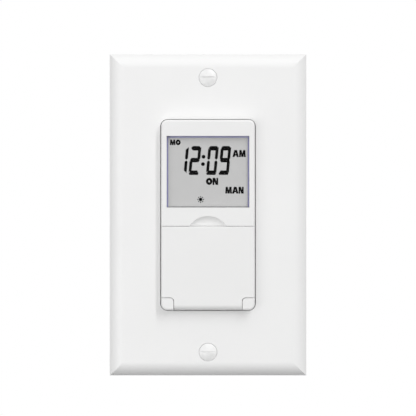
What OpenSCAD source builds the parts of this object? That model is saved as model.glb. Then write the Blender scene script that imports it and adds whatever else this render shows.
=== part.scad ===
// In-wall digital timer switch with a flip-down door over its keys.
// X runs across, Y runs into the wall and Z runs up.
// The origin is the middle of the device, on the finished wall.

/* [Wall plate] */
// Width of the wall plate
plate_w = 69.85; // [62:0.05:90]
// Height of the wall plate
plate_h = 114; // [110:0.1:140]
// Depth of the wall plate, from the wall to its front
plate_t = 5.6; // [5:0.1:7]
// Thickness of the moulded plate
plate_wall = 2; // [1.9:0.05:2.2]
// Straight rim at the edge of the plate, behind the rounded bevel
plate_rim = 2; // [1:0.1:2.4]
// Width of the rounded bevel along each edge
bevel_w = 5; // [4.5:0.1:8]

/* [Device face] */
// Width of the device face
face_w = 32.9; // [32:0.1:42]
// Height of the device face
face_h = 66.8; // [66:0.1:80]
// Corner radius of the device face
face_r = 2.2; // [1.5:0.1:4]
// Radius along the front edges of the face
face_edge = 0.8; // [0.4:0.1:1.2]
// How far the face stands in front of the wall plate
face_proud = 3.6; // [3.3:0.1:5]
// Gap between the face and the opening of the wall plate
face_gap = 0.4; // [0.15:0.05:0.6]
// Thickness of the flange that the strap carries
flange_t = 2; // [1.4:0.1:2.2]

/* [Display] */
// Width of the display window
window_w = 29; // [22:0.1:29.5]
// Height of the display window
window_h = 25.1; // [18:0.1:26]
// Height of the middle of the window above the origin
window_z = 15.16; // [14.5:0.01:16]
// Thickness of the face around the window
window_wall = 1; // [0.8:0.1:1.4]
// Thickness of each display glass
glass_t = 1.1; // [0.7:0.1:1.2]
// Depth of the contact ledge at the foot of the front glass
contact_ledge = 2.4; // [2.2:0.1:2.8]

/* [Door] */
// Height of the line between the face and the top of the door
door_line_z = -3.9; // [-4.5:0.05:-3.5]
// Thickness of the door
door_t = 1.8; // [1.6:0.05:2.2]
// Gap between the door and its hinge ears
door_gap = 0.2; // [0.15:0.05:0.4]
// Gap along the top of the door
door_top_gap = 0.12; // [0.1:0.01:0.4]
// Radius along the top edge of the door
door_edge = 0.4; // [0.2:0.05:0.6]
// Width of each hinge ear
ear_w = 4.35; // [3.8:0.05:5]
// Height of each hinge ear
ear_h = 4.3; // [4.2:0.05:5.4]
// Radius of the inner top corner of each ear
ear_r = 1.15; // [0.5:0.05:1.6]
// Radius of the hinge pins at the foot of the door
pin_r = 0.8; // [0.6:0.05:1]
// Radial clearance of the hinge pins in the ears
pin_clearance = 0.06; // [0.03:0.01:0.1]
// Radius of the thumb scoop where it meets the face
scoop_r = 7.8; // [6:0.1:10]
// Height of the thumb scoop above the door line
scoop_rise = 3.55; // [2.5:0.05:3.8]
// Depth of the flat bottom of the thumb scoop
scoop_depth = 1.6; // [1:0.05:1.7]
// Width of the round wall of the thumb scoop
scoop_wall = 3.2; // [2:0.1:4]

/* [Keys] */
// Width of a small key
key_w = 6.4; // [5:0.1:7.4]
// Height of a small key
key_h = 4.4; // [3.6:0.1:4.8]
// Distance between columns of keys
key_pitch_x = 9.2; // [8.8:0.1:9.4]
// Distance between the two rows of small keys
key_pitch_z = 6.4; // [6.2:0.1:6.6]
// Width of the on and off key
power_key_w = 18; // [12:0.1:18.4]
// Height of the on and off key
power_key_h = 6; // [4.4:0.1:6.4]
// Gap between a key and its hole
key_gap = 0.15; // [0.1:0.01:0.25]
// Travel of a key when it is pressed
key_travel = 0.3; // [0.2:0.05:0.35]
// Radius of the recessed reset pin
reset_r = 0.8; // [0.6:0.05:1]

/* [Strap and screws] */
// Thickness of the steel mounting strap
strap_t = 1.2; // [1:0.1:1.5]
// Distance between the two plate screws
plate_screw_span = 96.84; // [95:0.01:98]
// Distance between the two box screws
box_screw_span = 83.34; // [82:0.01:84]
// Radius of the plate screws and box screws
thread_r = 1.75; // [1.5:0.05:1.9]
// Radius of the plate screw heads
plate_head_r = 3.1; // [3:0.05:3.4]
// Length of the plate screws, from the front of the plate
plate_screw_len = 12.7; // [9:0.1:20]
// Length of the box screws under the head
box_screw_len = 25.4; // [16:0.1:32]

/* [Rear housing] */
// Depth of the housing behind the wall
housing_d = 30; // [29.5:0.5:38]
// Thickness of the housing wall
housing_wall = 1.8; // [1.4:0.1:2.2]
// Depth of the terminal pockets in the sides
terminal_depth = 6; // [5.6:0.1:6.4]
// Thickness of the circuit boards
board_t = 1.6; // [1:0.1:1.8]

/* [Hidden] */
$fn = 64;

// Depth stations, front to back
plate_front = -plate_t;
face_front = plate_front - face_proud;
strap_front = -strap_t;
flange_front = strap_front - flange_t;
door_back = face_front + door_t;
seat_gap = 0.2;
key_room = 2.4;
deck_front = door_back + key_room;
deck_t = 1.4;
deck_back = deck_front + deck_t;
switch_room = 4.8;
board_front = deck_back + switch_room;
board_back = board_front + board_t;
housing_floor = housing_d - housing_wall;
power_standoff = 3;
power_back = housing_floor - power_standoff;
power_front = power_back - board_t;
// How far a cut runs past a surface, and how far fused shapes reach into each other
past = 1;
weld = 0.3;
// Clearance round a screw in its tapped hole
tapped_gap = 0.05;

// Wall plate
bevel_drop = plate_t - plate_rim;
bevel_r = (bevel_w * bevel_w + bevel_drop * bevel_drop) / (2 * bevel_drop);
countersink_angle = 41;
head_gap = 0.2;
head_dome = 0.8;
head_land = 0.6;
head_crown = 0.7;
plate_slot_w = 0.75;
plate_slot_depth = 0.55;
slot_w = 0.9;
slot_depth = 1.3;
screw_hole_gap = 0.2;
plate_boss_r = 3;
strap_clearance = 0.3;
plate_boss_end = strap_front - strap_clearance;

// Flange, bosses and housing outline
flange_side = 5.05;
flange_end = 1.85;
flange_r = 2.5;
flange_w = face_w + 2 * flange_side;
flange_h = face_h + 2 * flange_end;
boss_r = 2.3;
boss_gap = 0.2;
boss_rim = 0.4;
boss_x = flange_w / 2 - boss_r - boss_rim;
boss_inset_z = 4.75;
boss_z = face_h / 2 - boss_inset_z;
boss_end = 4.2;
tube_r = 3.1;
tube_cover = 0.6;
housing_w = 2 * (boss_x + tube_r + tube_cover);
housing_h = 2 * (boss_z + tube_r + tube_cover);
housing_r = 3;
housing_edge = 1.2;
housing_in_w = housing_w - 2 * housing_wall;
housing_in_h = housing_h - 2 * housing_wall;
corner_places = [for (sx = [-1, 1], sz = [-1, 1]) [sx * boss_x, sz * boss_z]];

// Display stack
window_bottom = window_z - window_h / 2;
window_top = window_z + window_h / 2;
lens_inset = 0.3;
lens_slip = 0.1;
lens_lip = 0.5;
lens_lip_t = 0.5;
stack_slip = 0.2;
film_t = 0.2;
film_gap = 0.05;
lens_ledge = face_front + window_wall;
lens_back = lens_ledge + lens_lip_t;
film_front = lens_back + film_gap;
film_back = film_front + film_t;
front_glass_back = film_back + glass_t;
rear_glass_back = front_glass_back + glass_t;
reflector_back = rear_glass_back + film_t;
lens_w = window_w + 2 * lens_lip;
pocket_w = lens_w + 2 * stack_slip;
glass_side = 0.25;
glass_head = 1.4;
glass_foot = 1;
glass_w = window_w + 2 * glass_side;
glass_top = window_top + glass_head;
rear_glass_bottom = window_bottom - glass_foot;
glass_bottom = rear_glass_bottom - contact_ledge;
pocket_top = glass_top + stack_slip;
pocket_bottom = glass_bottom - stack_slip;
holder_wall = 1.4;
holder_w = glass_w;
peg_inset = 4.7;
peg_x = glass_w / 2 - peg_inset;
peg_r = 0.55;
peg_slip = 0.1;
zebra_t = 1.8;
zebra_slip = 0.3;
zebra_end_gap = 1;
zebra_w = glass_w - 2 * zebra_end_gap;

// Door, hinge and scoop
door_top = door_line_z - door_top_gap / 2;
face_step = door_line_z + door_top_gap / 2;
door_ledge = 1.2;
hinge_inset = 1.9;
hinge_y = face_front + hinge_inset;
hinge_z = -face_h / 2 + hinge_inset;
ear_inner = face_w / 2 - ear_w;
knuckle_half = ear_inner - door_gap;
ear_top = -face_h / 2 + ear_h;
pin_len = 2.4;
pin_end_gap = 0.3;
skirt_inset = 1.9;
skirt_x = pocket_w / 2 - skirt_inset;
skirt_end_gap = 1.5;
skirt_t = 1;
skirt_depth = 1.5;
scoop_wall_r = (scoop_wall * scoop_wall + scoop_depth * scoop_depth) / (2 * scoop_depth);
scoop_floor_r = scoop_r - scoop_wall;
scoop_z = door_line_z + scoop_rise - scoop_r;

// Keys and their switches
key_proud = 2;
key_front = deck_front - key_proud;
key_corner = 0.8;
key_edge = 0.4;
key_lip = 0.6;
key_lip_t = 0.7;
key_lip_gap = 0.1;
key_lip_front = deck_back + key_lip_gap;
key_back = key_lip_front + key_lip_t;
power_key_drop = 5.3;
first_row_drop = 7.2;
power_key_z = door_line_z - power_key_drop;
first_row_z = power_key_z - first_row_drop;
reset_x = 11.3;
reset_recess = 0.3;
switch_w = 6;
switch_corner = 0.4;
switch_h = 3.5;
switch_front = board_front - switch_h;
plunger_r = 1.65;
plunger_slip = 0.1;
plunger_sunk = 0.65;
plunger_spare = 0.1;
plunger_back = switch_front + plunger_sunk;
plunger_well = plunger_back + key_travel + plunger_spare;
power_place = [0, power_key_z];
reset_place = [reset_x, power_key_z];
small_places = [
    for (row = [0, 1], column = [-1, 0, 1])
        [column * key_pitch_x, first_row_z - row * key_pitch_z]
];
switch_places = concat([power_place, reset_place], small_places);

// Control board
board_w = 29;
board_slip = 0.4;
board_top = housing_in_h / 2 - board_slip;
board_bottom = -board_top;
pillar_r = 1.9;
board_screw_r = 0.8;
board_pilot_r = board_screw_r + tapped_gap;
board_hole_gap = 0.2;
board_screw_len = 5.6;
board_screw_end = board_back - board_screw_len;
board_head_r = 1.6;
board_head_h = 1.2;
pilot_spare = 0.3;
pillar_x = 12.4;
pillar_foot = 1.8;
pillar_drop = 2.4;
pillar_places = [
    for (sx = [-1, 1], z = [board_bottom + pillar_foot, pocket_bottom - pillar_drop])
        [sx * pillar_x, z]
];
divider_t = 1.2;
chip_w = 10;
chip_z = 12;
chip_t = 1.4;
chip_lift = 0.1;
chip_corner = 0.3;
chip_legs = 8;
leg_span = 8;
leg_w = 0.4;
leg_t = 0.3;
leg_len = 1.2;
crystal_place = [10, 12];
crystal_size = [3.8, 10, 3.4];
cell_r = 6.25;
cell_t = 2.5;
cell_z = -16.2;
clip_t = 0.4;
clip_w = 4;
clip_clear = 0.8;
clip_reach = cell_r + clip_clear;
clip_pad_r = 4.75;

// Link between the boards
link_pins = 6;
link_pitch = 2.54;
link_z = -2;
link_block_h = 2.5;
link_pin_r = 0.32;
link_hole_r = 0.5;
link_tail = 0.8;

// Power board and its parts
power_w = 38.4;
power_end_gap = 0.5;
power_h = 2 * (boss_z - tube_r - power_end_gap);
standoff_r = 2.2;
standoff_x = 15;
standoff_inset = 3.3;
standoff_z = power_h / 2 - standoff_inset;
standoff_peg_r = 0.9;
standoff_slip = 0.15;
lead_r = 0.35;
lead_tail = 0.8;
lead_hole_r = 0.5;
relay_size = [15.5, 15.8, 19];
relay_place = [-1.5, 11];
relay_lead_x = 5;
relay_lead_z = 7.5;
case_corner = 0.8;
case_edge = 0.5;
film_size = [17.5, 11, 5.5];
film_z = -21.6;
film_pitch = 15;
can_r = 5;
can_h = 13;
can_place = [-4.2, -12.5];
can_pitch = 5;
can_rim_r = 4;
can_rim_h = 0.2;
disc_r = 4.5;
disc_t = 4;
disc_place = [6.5, -12.5];
disc_pitch = 5;
disc_lift = 1;
resistor_r = 1.7;
resistor_len = 9;
resistor_z = 22.6;
resistor_pitch = 12.5;
resistor_lift = 0.3;
resistor_bend = 1;

// Terminals
terminal_z = 13;
terminal_rows = [-terminal_z, terminal_z];
terminal_floor = housing_w / 2 - terminal_depth;
terminal_wall = 1.5;
pocket_front_y = 8.5;
pocket_back_y = 20.4;
pocket_h = 11;
terminal_y = 13.5;
terminal_plate_t = 1;
terminal_plate_w = 8.4;
terminal_plate_l = 8;
terminal_slip = 0.1;
tail_w = 3;
tail_slot_w = tail_w + 2 * terminal_slip;
tail_slot_t = terminal_plate_t + 2 * terminal_slip;
tail_end = power_back + lead_tail;
terminal_screw_r = 2.05;
terminal_hole_gap = 0.15;
terminal_head_r = 3.8;
terminal_head_h = 2.2;
wire_gap = 1.8;
terminal_boss_r = 3.4;
terminal_boss_len = 4;
terminal_reach = 3.2;

// Strap
strap_margin = 1.5;
strap_end_margin = 1;
strap_w = flange_w + 2 * strap_margin;
strap_h = flange_h + 2 * strap_end_margin;
strap_r = 3;
strap_ear_w = 25.4;
strap_ear_r = 4;
strap_tip = 4.6;
strap_len = plate_screw_span + 2 * strap_tip;
notch_r = 1.6;
notch_z = (plate_screw_span + box_screw_span) / 4;
strap_window_gap = 0.25;
strap_window_w = pocket_w + 2 * strap_window_gap;
strap_window_h = housing_in_h + 2 * strap_window_gap;
box_slot_w = 7;
box_slot_h = 4.2;
box_head_r = 3.3;
box_head_h = 2;
box_head_rim = 0.8;
box_screw_room = 0.3;
neck_r = 1.5;
washer_w = 8;
washer_t = 0.4;
washer_corner = 1;
neck_end = washer_t;
earth_x = -14.5;
earth_tab_r = 4.2;
earth_place = [earth_x, -(housing_h / 2 + earth_tab_r)];
earth_head_r = 3.7;
earth_head_h = 2.4;
earth_lift = 1.5;

// Housing screws
housing_screw_r = 1.1;
housing_pilot_r = housing_screw_r + tapped_gap;
housing_hole_gap = 0.25;
housing_head_r = 2.4;
housing_head_h = 1.8;
counterbore_r = 2.7;
counterbore_floor = 17;
housing_screw_len = 18;
housing_screw_end = counterbore_floor - housing_screw_len;
rib_w = 3;
rib_x = 9;
rib_gap = 0.1;
rib_depth = 4;
rib_hold = 2;

// Helpers

// Extrude an outline drawn as seen from the front between two depths
module slab(front, back) {
    translate([0, back, 0])
        rotate([90, 0, 0])
            linear_extrude(back - front) children();
}

// Put things at a place on the front view
module at(place) {
    translate([place[0], 0, place[1]]) children();
}

// Round pin along the depth
module pin(radius, front, back) {
    slab(front, back) circle(radius);
}

// Rectangle with round corners
module rounded(w, h, r) {
    square([w - 2 * r, h], center = true);
    square([w, h - 2 * r], center = true);
    for (sx = [-1, 1], sz = [-1, 1])
        translate([sx * (w / 2 - r), sz * (h / 2 - r)]) circle(r);
}

// Rectangle given by its lower and upper edges
module band(w, bottom, top) {
    translate([-w / 2, bottom]) square([w, top - bottom]);
}

// Outer part of a block's section: straight side and round top edge
module edge_section(r, edge, t) {
    square([r, t - edge]);
    square([r - edge, t]);
    intersection() {
        translate([r - edge, t - edge]) circle(edge);
        square([r, t]);
    }
}

// Block with round corners and a round edge along its top
module soft_block(w, h, r, edge, t) {
    for (turn = [0 : 3]) {
        across = turn % 2 == 0 ? w : h;
        along = turn % 2 == 0 ? h : w;
        rotate([0, 0, 90 * turn]) {
            translate([across / 2 - r, 0, 0])
                rotate([90, 0, 0])
                    linear_extrude(along - 2 * r, center = true) edge_section(r, edge, t);
            translate([across / 2 - r, along / 2 - r, 0])
                rotate_extrude(angle = 90) edge_section(r, edge, t);
        }
    }
    translate([0, 0, t / 2]) cube([w - 2 * r, h - 2 * r, t], center = true);
}

// Soft block whose round edge faces the room
module front_block(w, h, r, edge, front, back) {
    translate([0, back, 0])
        rotate([90, 0, 0]) soft_block(w, h, r, edge, back - front);
}

// Screw with its head above the seat at zero and its shank below
module screw(head_r, head_h, shank_r, shank_len, slots) {
    tip = shank_r / 2;
    drive_l = 1.5 * head_r;
    drive_w = 0.3 * head_r;
    difference() {
        rotate_extrude()
            polygon([
                [0, head_h], [head_crown * head_r, head_h], [head_r, head_land * head_h], [head_r, 0],
                [shank_r, 0], [shank_r, tip - shank_len], [tip, -shank_len], [0, -shank_len]
            ]);
        for (turn = [0 : slots - 1])
            rotate([0, 0, 90 * turn])
                translate([0, 0, head_h])
                    cube([drive_l, drive_w, head_h], center = true);
    }
}

// Domed screw head above the seat at zero
module dome_head(r, rim, h) {
    dome = h - rim;
    ball = (r * r + dome * dome) / (2 * dome);
    rotate_extrude()
        intersection() {
            square([r, h]);
            translate([0, h - ball]) circle(ball);
        }
}

// Wall plate and its screws

// Section of the plate or of its hollow, width by depth
module plate_section(width, inset) {
    half = width / 2;
    depth = plate_t - inset;
    behind = inset > 0 ? past : 0;
    intersection() {
        translate([-(half - inset), -behind]) square([2 * (half - inset), depth + behind]);
        union() {
            translate([-(half - bevel_w), -past]) square([2 * (half - bevel_w), depth + past]);
            for (side = [-1, 1])
                translate([side * (half - bevel_w), plate_t - bevel_r]) circle(bevel_r - inset);
        }
    }
}

// Plate outline with its rounded bevels meeting at mitred corners
module plate_form(inset) {
    intersection() {
        rotate([180, 0, 0])
            linear_extrude(plate_h - 2 * inset, center = true) plate_section(plate_w, inset);
        rotate([180, 90, 0])
            linear_extrude(plate_w - 2 * inset, center = true) plate_section(plate_h, inset);
    }
}

module wall_plate() {
    color([0.94, 0.94, 0.93])
        difference() {
            union() {
                difference() {
                    plate_form(0);
                    plate_form(plate_wall);
                }
                for (side = [-1, 1])
                    at([0, side * plate_screw_span / 2])
                        pin(plate_boss_r, plate_front + plate_wall / 2, plate_boss_end);
            }
            slab(plate_front - past, past)
                rounded(face_w + 2 * face_gap, face_h + 2 * face_gap, face_r + face_gap);
            for (side = [-1, 1])
                at([0, side * plate_screw_span / 2]) {
                    pin(thread_r + screw_hole_gap, plate_front - past, past);
                    countersink(plate_head_r + head_gap, past);
                }
        }
}

// Cone that a plate screw's head sits in, with some room in front
module countersink(r, room) {
    depth = r / tan(countersink_angle);
    translate([0, plate_front, 0])
        rotate([-90, 0, 0]) {
            cylinder(h = depth, r1 = r, r2 = 0);
            translate([0, 0, -room]) cylinder(h = room, r = r);
        }
}

module plate_screws() {
    dome_r = (plate_head_r * plate_head_r + head_dome * head_dome) / (2 * head_dome);
    color([0.92, 0.92, 0.91])
        for (side = [-1, 1])
            at([0, side * plate_screw_span / 2])
                difference() {
                    union() {
                        intersection() {
                            countersink(plate_head_r, head_dome);
                            translate([0, plate_front - head_dome + dome_r, 0]) sphere(dome_r);
                        }
                        pin(thread_r, plate_front + past, plate_front + plate_screw_len);
                    }
                    translate([0, plate_front - head_dome, 0])
                        cube([2 * (plate_head_r + past), 2 * plate_slot_depth, plate_slot_w], center = true);
                }
}

// Mounting strap and the screws it carries

module strap_outline() {
    difference() {
        union() {
            rounded(strap_w, strap_h, strap_r);
            rounded(strap_ear_w, strap_len, strap_ear_r);
            translate(earth_place) circle(earth_tab_r);
        }
        rounded(strap_window_w, strap_window_h, strap_r / 2);
        for (place = corner_places)
            translate(place) circle(boss_r + boss_gap);
        for (side = [-1, 1]) {
            translate([0, side * plate_screw_span / 2]) circle(thread_r + tapped_gap);
            translate([0, side * box_screw_span / 2]) slot_outline(box_slot_w, box_slot_h);
        }
        translate(earth_place) circle(terminal_screw_r + tapped_gap);
        for (sx = [-1, 1], sz = [-1, 1])
            translate([sx * strap_ear_w / 2, sz * notch_z]) circle(notch_r);
    }
}

module slot_outline(length, height) {
    square([length - height, height], center = true);
    for (side = [-1, 1])
        translate([side * (length - height) / 2, 0]) circle(height / 2);
}

module mounting_strap() {
    color([0.72, 0.73, 0.74])
        slab(strap_front, 0) strap_outline();
}

module box_screws() {
    color([0.78, 0.78, 0.79])
        for (side = [-1, 1])
            at([0, side * box_screw_span / 2])
                difference() {
                    union() {
                        translate([0, strap_front, 0])
                            rotate([90, 0, 0]) dome_head(box_head_r, box_head_rim, box_head_h);
                        pin(neck_r, strap_front - weld, neck_end + weld);
                        pin(thread_r, neck_end, strap_front + box_screw_len);
                    }
                    translate([0, strap_front - box_head_h, 0])
                        cube([2 * (box_head_r + past), 2 * slot_depth, slot_w], center = true);
                }
}

module screw_washers() {
    color([0.45, 0.33, 0.22])
        for (side = [-1, 1])
            at([0, side * box_screw_span / 2])
                slab(0, washer_t)
                    difference() {
                        rounded(washer_w, washer_w, washer_corner);
                        circle(neck_r + tapped_gap);
                    }
}

// Room round the box screws and their washers, which a tall face or housing reaches
module box_screw_spaces() {
    washer_space = washer_w + 2 * box_screw_room;
    for (side = [-1, 1])
        at([0, side * box_screw_span / 2]) {
            pin(box_head_r + box_screw_room, strap_front - box_head_h - box_screw_room, strap_front + past);
            slab(-past, washer_t + box_screw_room) rounded(washer_space, washer_space, washer_corner);
            pin(thread_r + box_screw_room, 0, strap_front + box_screw_len + box_screw_room);
        }
}

module earth_screw() {
    color([0.15, 0.5, 0.25])
        at(earth_place)
            difference() {
                union() {
                    slab(earth_lift, earth_lift + earth_head_h) circle(earth_head_r, $fn = 6);
                    pin(terminal_screw_r, strap_front, earth_lift + weld);
                }
                translate([0, earth_lift + earth_head_h, 0])
                    cube([2 * (earth_head_r + past), 2 * slot_depth, slot_w], center = true);
            }
}

// Bezel

module face_block() {
    front_block(face_w, face_h, face_r, face_edge, face_front, strap_front);
}

// Front view of one hinge ear, running past the edges of the face
module ear_outline(side) {
    w = ear_w + past;
    h = ear_h + past;
    mirror([side < 0 ? 1 : 0, 0])
        translate([ear_inner, -face_h / 2 - past]) {
            square([w, h - ear_r]);
            translate([ear_r, 0]) square([w - ear_r, h]);
            translate([ear_r, h - ear_r]) circle(ear_r);
        }
}

// Front view of the space behind the door, without the ears
module door_space(w, top) {
    difference() {
        band(w, -face_h / 2 - past, top);
        for (side = [-1, 1]) ear_outline(side);
    }
}

module key_holes() {
    slab(deck_front - past, deck_back + past) {
        for (place = small_places)
            translate(place) rounded(key_w + 2 * key_gap, key_h + 2 * key_gap, key_corner + key_gap);
        translate(power_place)
            rounded(power_key_w + 2 * key_gap, power_key_h + 2 * key_gap, key_corner + key_gap);
        translate(reset_place) circle(reset_r + key_gap);
    }
}

// Hollows of the bezel: window, display pocket, key space and thumb scoop
module bezel_hollows() {
    slab(face_front - past, lens_ledge + past)
        translate([0, window_z]) square([window_w, window_h], center = true);
    slab(lens_ledge, past)
        band(pocket_w, window_bottom - lens_lip - stack_slip, pocket_top);
    slab(lens_back, past) band(pocket_w, pocket_bottom, pocket_top);
    slab(lens_ledge, past)
        band(pocket_w - 2 * divider_t, pocket_top + divider_t, face_h / 2 - divider_t);
    slab(face_front - past, door_back + seat_gap) door_space(face_w + 2 * past, face_step);
    slab(face_front - past, deck_front) door_space(pocket_w, face_step - door_ledge);
    slab(deck_back, past)
        band(pocket_w, -face_h / 2 + divider_t, pocket_bottom - divider_t);
    translate([0, face_front + scoop_depth, scoop_z])
        rotate([90, 0, 0]) rotate_extrude() scoop_section();
}

// Section of the thumb scoop: flat floor and a round wall that meets the face
module scoop_section() {
    intersection() {
        square([scoop_r, scoop_depth + past]);
        union() {
            square([scoop_floor_r, scoop_depth + past]);
            translate([scoop_floor_r, scoop_wall_r]) circle(scoop_wall_r);
        }
    }
}

module hinge_bores() {
    for (side = [-1, 1])
        mirror([side < 0 ? 1 : 0, 0, 0])
            translate([knuckle_half, hinge_y, hinge_z])
                rotate([0, 90, 0]) cylinder(h = pin_len + pin_end_gap, r = pin_r + pin_clearance);
}

module bezel() {
    color([0.93, 0.93, 0.92])
        difference() {
            union() {
                difference() {
                    union() {
                        face_block();
                        slab(flange_front, strap_front) rounded(flange_w, flange_h, flange_r);
                    }
                    bezel_hollows();
                }
                for (place = corner_places)
                    at(place) pin(boss_r, flange_front, boss_end);
                for (place = pillar_places)
                    at(place) pin(pillar_r, deck_back - weld, board_front);
            }
            key_holes();
            hinge_bores();
            box_screw_spaces();
            for (place = corner_places)
                at(place)
                    pin(housing_pilot_r, housing_screw_end - pilot_spare, boss_end + past);
            for (place = pillar_places)
                at(place)
                    pin(board_pilot_r, board_screw_end - pilot_spare, board_front + past);
        }
}

// Display

module display_window() {
    color([0.8, 0.85, 0.85, 0.5]) {
        slab(face_front + lens_inset, lens_back)
            translate([0, window_z])
                square([window_w - 2 * lens_slip, window_h - 2 * lens_slip], center = true);
        slab(lens_ledge, lens_back)
            translate([0, window_z]) square([lens_w, window_h + 2 * lens_lip], center = true);
    }
}

module front_polariser() {
    color([0.72, 0.75, 0.7])
        slab(film_front, film_back) band(glass_w, rear_glass_bottom, glass_top);
}

module lcd_front_glass() {
    color([0.75, 0.8, 0.78])
        slab(film_back, front_glass_back) band(glass_w, glass_bottom, glass_top);
}

module lcd_rear_glass() {
    color([0.72, 0.78, 0.76])
        slab(front_glass_back, rear_glass_back) band(glass_w, rear_glass_bottom, glass_top);
}

module rear_reflector() {
    color([0.78, 0.79, 0.77])
        slab(rear_glass_back, reflector_back) band(glass_w, rear_glass_bottom, glass_top);
}

module lcd_holder() {
    color([0.9, 0.9, 0.88]) {
        slab(reflector_back, board_front)
            difference() {
                band(holder_w, rear_glass_bottom, glass_top);
                band(holder_w - 2 * holder_wall, rear_glass_bottom + holder_wall, glass_top - holder_wall);
            }
        for (place = holder_pegs())
            at(place) pin(peg_r, board_front - weld, board_back);
    }
}

function holder_pegs() = [
    for (sx = [-1, 1], z = [rear_glass_bottom + holder_wall / 2, glass_top - holder_wall / 2])
        [sx * peg_x, z]
];

module zebra_strip() {
    top = rear_glass_bottom - zebra_slip;
    color([0.85, 0.5, 0.55])
        slab(front_glass_back, board_front) band(zebra_w, top - zebra_t, top);
}

// Door

// Side view of the door: panel with a soft top edge and a round foot, depth by height from the hinge
module door_section() {
    rise = door_top - hinge_z;
    translate([-hinge_inset, 0]) {
        square([door_t, rise - door_edge]);
        translate([door_edge, 0]) square([door_t - door_edge, rise]);
        translate([door_edge, rise - door_edge]) circle(door_edge);
    }
    circle(hinge_inset);
}

// Plan of the face: width by depth, with round front edges
module face_plan() {
    half = face_w / 2;
    depth = door_t + 2 * hinge_inset;
    translate([-half, face_front + face_edge]) square([face_w, depth]);
    translate([-half + face_edge, face_front]) square([face_w - 2 * face_edge, depth]);
    for (side = [-1, 1])
        translate([side * (half - face_edge), face_front + face_edge]) circle(face_edge);
}

// Space swept by a hinge ear as the door turns past it
module ear_sweep() {
    corner = ear_r + door_gap;
    rise = ear_top + door_gap - hinge_z;
    end = face_w / 2 + past;
    arc_step = 10;
    arc = [
        for (a = [0 : arc_step : 90])
            [sweep_radius(rise - corner + corner * sin(a)), knuckle_half + corner - corner * cos(a)]
    ];
    translate([0, hinge_y, hinge_z])
        rotate([0, 90, 0])
            rotate_extrude()
                polygon(concat([[0, end], [0, knuckle_half]], arc, [[sweep_radius(rise), end]]));
}

// Distance from the hinge to a point on the front of the face at a given height
function sweep_radius(height) = sqrt(hinge_inset * hinge_inset + height * height);

module door() {
    color([0.94, 0.94, 0.93]) {
        difference() {
            intersection() {
                translate([0, hinge_y, hinge_z])
                    rotate([90, 0, 90])
                        linear_extrude(face_w, center = true) door_section();
                translate([0, 0, -face_h / 2 - past])
                    linear_extrude(face_h) face_plan();
            }
            for (side = [0, 1])
                mirror([side, 0, 0]) ear_sweep();
        }
        for (side = [-1, 1])
            translate([side * skirt_x, 0, 0])
                slab(door_back - weld, door_back + skirt_depth)
                    band(skirt_t, ear_top + skirt_end_gap, door_top - skirt_end_gap);
        translate([0, hinge_y, hinge_z])
            rotate([0, 90, 0]) cylinder(h = 2 * (knuckle_half + pin_len), r = pin_r, center = true);
    }
}

// Keys and tact switches

module key(place, w, h) {
    at(place) {
        front_block(w, h, key_corner, key_edge, key_front, key_lip_front + weld);
        slab(key_lip_front, key_back) rounded(w + 2 * key_lip, h + 2 * key_lip, key_corner);
    }
}

module small_key(number) {
    color([0.62, 0.64, 0.67]) key(small_places[number], key_w, key_h);
}

module key_on_off() {
    color([0.72, 0.74, 0.76]) key(power_place, power_key_w, power_key_h);
}

module reset_pin() {
    color([0.35, 0.36, 0.38])
        at(reset_place) {
            pin(reset_r, deck_front + reset_recess, key_back);
            pin(reset_r + key_lip, key_lip_front, key_back);
        }
}

module plunger(place) {
    color([0.12, 0.12, 0.13])
        at(place) pin(plunger_r, key_back, plunger_back);
}

module switch_bodies() {
    color([0.2, 0.2, 0.21])
        for (place = switch_places)
            at(place)
                difference() {
                    slab(switch_front, board_front) rounded(switch_w, switch_w, switch_corner);
                    pin(plunger_r + plunger_slip, switch_front - past, plunger_well);
                }
}

// Control board

module control_board() {
    color([0.1, 0.35, 0.2])
        slab(board_front, board_back)
            difference() {
                band(board_w, board_bottom, board_top);
                for (place = pillar_places)
                    translate(place) circle(board_screw_r + board_hole_gap);
                for (place = holder_pegs())
                    translate(place) circle(peg_r + peg_slip);
                link_holes();
            }
}

module board_screws() {
    color([0.75, 0.75, 0.76])
        for (place = pillar_places)
            translate([place[0], board_back, place[1]])
                rotate([-90, 0, 0]) screw(board_head_r, board_head_h, board_screw_r, board_screw_len, 2);
}

module microcontroller() {
    body_front = board_back + chip_lift;
    leg_pitch = leg_span / (chip_legs - 1);
    color([0.1, 0.1, 0.11])
        at([0, chip_z]) {
            slab(body_front, body_front + chip_t) rounded(chip_w, chip_w, chip_corner);
            for (turn = [0 : 90 : 270], leg = [0 : chip_legs - 1])
                rotate([0, turn, 0])
                    translate([chip_w / 2 - weld, board_back, leg * leg_pitch - (leg_span + leg_w) / 2])
                        cube([leg_len, leg_t, leg_w]);
        }
}

module crystal() {
    color([0.78, 0.78, 0.8])
        at(crystal_place)
            slab(board_back, board_back + crystal_size[2])
                rotate(90) slot_outline(crystal_size[1], crystal_size[0]);
}

module backup_cell() {
    color([0.8, 0.8, 0.82])
        at([0, cell_z]) pin(cell_r, board_back + clip_t, board_back + clip_t + cell_t);
}

// Spring clip: a bridge over the cell, two legs and a pad under the cell
module cell_clip() {
    bridge_front = board_back + clip_t + cell_t;
    color([0.82, 0.78, 0.62])
        at([0, cell_z]) {
            slab(bridge_front, bridge_front + clip_t)
                square([2 * clip_reach, clip_w], center = true);
            pin(clip_pad_r, board_back, board_back + clip_t);
            for (side = [-1, 1])
                translate([side * (clip_reach - clip_t / 2), 0, 0])
                    slab(board_back, bridge_front + clip_t) square([clip_t, clip_w], center = true);
        }
}

// Link between the boards

function link_x(number) = (number - (link_pins - 1) / 2) * link_pitch;

module link_holes() {
    for (number = [0 : link_pins - 1])
        translate([link_x(number), link_z]) circle(link_hole_r);
}

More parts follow.
